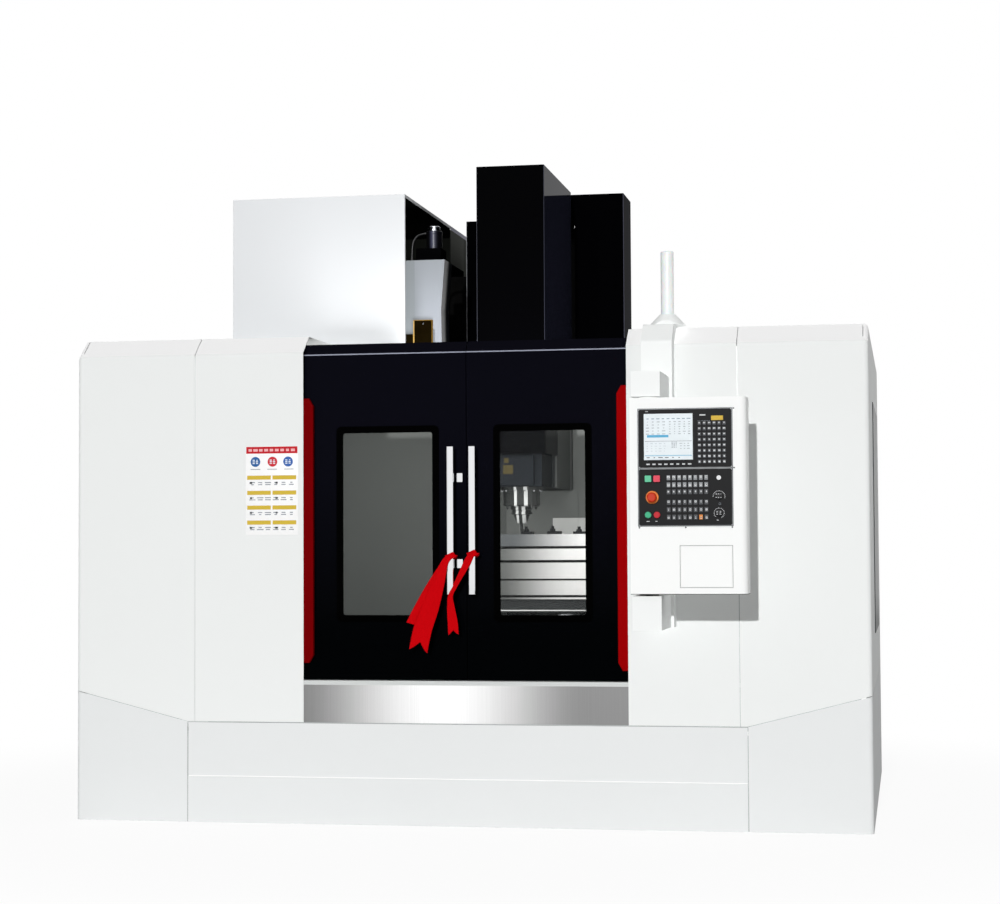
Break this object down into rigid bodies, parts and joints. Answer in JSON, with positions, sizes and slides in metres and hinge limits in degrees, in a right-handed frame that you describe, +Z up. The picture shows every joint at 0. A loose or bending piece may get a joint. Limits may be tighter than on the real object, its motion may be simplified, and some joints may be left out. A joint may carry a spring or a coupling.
{
  "type": "vertical machining centre",
  "caption": "Vertical machining centre with white enclosure, black sliding doors, roof-top tool magazine, column head and swivelling operator pendant.",
  "frame": {"origin": "middle of the footprint, on the floor, halfway between the emergency stop's face and the rear edge of the side panels", "axes": "+X to the operator's right, +Y away from the operator, +Z up"},
  "size_m": [3.508, 3.084, 2.964],
  "materials": {
    "panel_white": "powder-coated sheet, satin",
    "door_black": "glossy coated sheet",
    "casting_grey": "painted casting",
    "machined_iron": "ground faces",
    "cover_black": "glossy coated sheet",
    "nose_grey": "satin paint",
    "stainless": "brushed",
    "steel": "ground",
    "bright_steel": "polished",
    "window_glass": "tinted",
    "lining_grey": "satin paint",
    "frame_grey": "satin paint",
    "trim_red": "glossy coated",
    "zinc_yellow": "passivated",
    "cam_grey": "satin paint",
    "motor_black": "satin paint",
    "beacon_milky": "milky",
    "pendant_grey": "satin powder coat",
    "unit_dark": "fine textured",
    "ribbon_red": "satin ribbon",
    "button_green": "glossy",
    "button_red": "glossy",
    "stop_red": "glossy",
    "knob_black": "moulded",
    "pot_plastic": "moulded"
  },
  "bodies": {
    "machine": {"bed": "casting_grey", "levelling_feet": "steel", "column": "casting_grey", "column_covers": "cover_black", "guide_rails": "steel", "servo_motors": "motor_black", "base_covers": "panel_white", "front_panels": "panel_white", "side_panels": "panel_white", "roof_panels": "panel_white", "side_windows": "window_glass", "door_rails": "panel_white", "frame_tubes": "frame_grey", "sill_plate": "stainless", "jamb_trims": "trim_red", "chamber_linings": "lining_grey", "magazine_cover": "panel_white", "magazine_carrier": "zinc_yellow", "cam_box": "cam_grey", "changer_motor": "motor_black", "pendant_arm": "panel_white", "beacon": "beacon_milky", "electrical_cabinet": "panel_white"},
    "left_door": {"left_door_leaf": "door_black", "left_door_glass": "window_glass", "left_door_handle": "bright_steel", "left_ribbon": "ribbon_red"},
    "right_door": {"right_door_leaf": "door_black", "right_door_glass": "window_glass", "right_door_handle": "bright_steel", "right_ribbon": "ribbon_red"},
    "saddle": {"saddle": "casting_grey", "saddle_guard": "stainless"},
    "table": {"table": "machined_iron", "table_fittings": "steel"},
    "head": {"headstock": "casting_grey", "nose_cover": "nose_grey", "head_cover": "cover_black", "spindle_cartridge": "steel", "spindle_motor": "motor_black"},
    "spindle": {"spindle": "steel"},
    "magazine": {"magazine_wheel": "pot_plastic"},
    "changer_arm": {"changer_arm": "steel"},
    "y_screw": {"y_screw": "steel"},
    "z_screw": {"z_screw": "steel"},
    "cabinet_door": {"cabinet_door": "panel_white"},
    "main_switch": {"main_switch": "button_red"},
    "pendant": {"pendant_box": "pendant_grey", "panel_frame": "bright_steel", "screen_unit": "unit_dark", "operator_panel": "unit_dark"},
    "flap": {"pendant_flap": "pendant_grey"},
    "stop_button": {"stop_button": "stop_red"},
    "square_green": {"square_green_button": "button_green"},
    "square_red": {"square_red_button": "button_red"},
    "round_green": {"round_green_button": "button_green"},
    "round_red": {"round_red_button": "button_red"},
    "feed_dial": {"feed_dial": "knob_black"},
    "speed_dial": {"speed_dial": "knob_black"},
    "key_switch": {"key_switch": "bright_steel"}
  },
  "joints": [
    {"name": "left_door_slide", "type": "slide", "parent": "machine", "child": "left_door", "axis": [-1, 0, 0], "range_m": [0, 0.59]},
    {"name": "right_door_slide", "type": "slide", "parent": "machine", "child": "right_door", "axis": [1, 0, 0], "range_m": [0, 0.59]},
    {"name": "y_slide", "type": "slide", "parent": "machine", "child": "saddle", "axis": [0, 1, 0], "range_m": [-0.29, 0.29]},
    {"name": "x_slide", "type": "slide", "parent": "saddle", "child": "table", "axis": [1, 0, 0], "range_m": [-1.17, 0]},
    {"name": "z_slide", "type": "slide", "parent": "machine", "child": "head", "axis": [0, 0, 1], "range_m": [-0.005, 0.6]},
    {"name": "spindle_spin", "type": "hinge", "parent": "head", "child": "spindle", "pos_m": [0.12, -0.18, 1.393], "axis": [0, 0, 1], "continuous": true},
    {"name": "magazine_spin", "type": "hinge", "parent": "machine", "child": "magazine", "pos_m": [-0.69, 0.04, 2.48], "axis": [1, 0, 0], "continuous": true},
    {"name": "arm_swing", "type": "hinge", "parent": "machine", "child": "changer_arm", "pos_m": [-0.31, -0.095, 2.005], "axis": [0, 0, 1], "range_deg": [-28, 28]},
    {"name": "y_screw_spin", "type": "hinge", "parent": "machine", "child": "y_screw", "pos_m": [0.12, -0.73, 0.815], "axis": [0, 1, 0], "continuous": true},
    {"name": "z_screw_spin", "type": "hinge", "parent": "machine", "child": "z_screw", "pos_m": [0.12, 0.479, 1.48], "axis": [0, 0, 1], "continuous": true},
    {"name": "cabinet_door_hinge", "type": "hinge", "parent": "machine", "child": "cabinet_door", "pos_m": [-1.7255, 1.5255, 1.34], "axis": [0, 0, 1], "range_deg": [0, 100]},
    {"name": "main_switch_turn", "type": "hinge", "parent": "cabinet_door", "child": "main_switch", "pos_m": [-1.172, 1.53, 1.5], "axis": [0, 1, 0], "range_deg": [0, 90]},
    {"name": "pendant_swivel", "type": "hinge", "parent": "machine", "child": "pendant", "pos_m": [0.867, -1.43, 1.008], "axis": [0, 0, 1], "range_deg": [-80, 40]},
    {"name": "flap_hinge", "type": "hinge", "parent": "pendant", "child": "flap", "pos_m": [1.0018, -1.5, 1.12], "axis": [0, 0, -1], "range_deg": [0, 110]},
    {"name": "stop_push", "type": "slide", "parent": "pendant", "child": "stop_button", "axis": [0, 1, 0], "range_m": [0, 0.006], "stiffness_N_per_m": 1500},
    {"name": "square_green_push", "type": "slide", "parent": "pendant", "child": "square_green", "axis": [0, 1, 0], "range_m": [0, 0.004], "stiffness_N_per_m": 600},
    {"name": "square_red_push", "type": "slide", "parent": "pendant", "child": "square_red", "axis": [0, 1, 0], "range_m": [0, 0.004], "stiffness_N_per_m": 600},
    {"name": "round_green_push", "type": "slide", "parent": "pendant", "child": "round_green", "axis": [0, 1, 0], "range_m": [0, 0.004], "stiffness_N_per_m": 600},
    {"name": "round_red_push", "type": "slide", "parent": "pendant", "child": "round_red", "axis": [0, 1, 0], "range_m": [0, 0.004], "stiffness_N_per_m": 600},
    {"name": "feed_dial_turn", "type": "hinge", "parent": "pendant", "child": "feed_dial", "pos_m": [1.16, -1.506, 1.402], "axis": [0, 1, 0], "range_deg": [-120, 120]},
    {"name": "speed_dial_turn", "type": "hinge", "parent": "pendant", "child": "speed_dial", "pos_m": [1.16, -1.506, 1.335], "axis": [0, 1, 0], "range_deg": [-120, 120]},
    {"name": "key_switch_turn", "type": "hinge", "parent": "pendant", "child": "key_switch", "pos_m": [1.16, -1.506, 1.477], "axis": [0, 1, 0], "range_deg": [0, 90]}
  ],
  "couplings": [
    {"joint": "y_screw_spin", "follows": "y_slide", "rad_per_m": 392.7},
    {"joint": "z_screw_spin", "follows": "z_slide", "rad_per_m": 628.32}
  ]
}
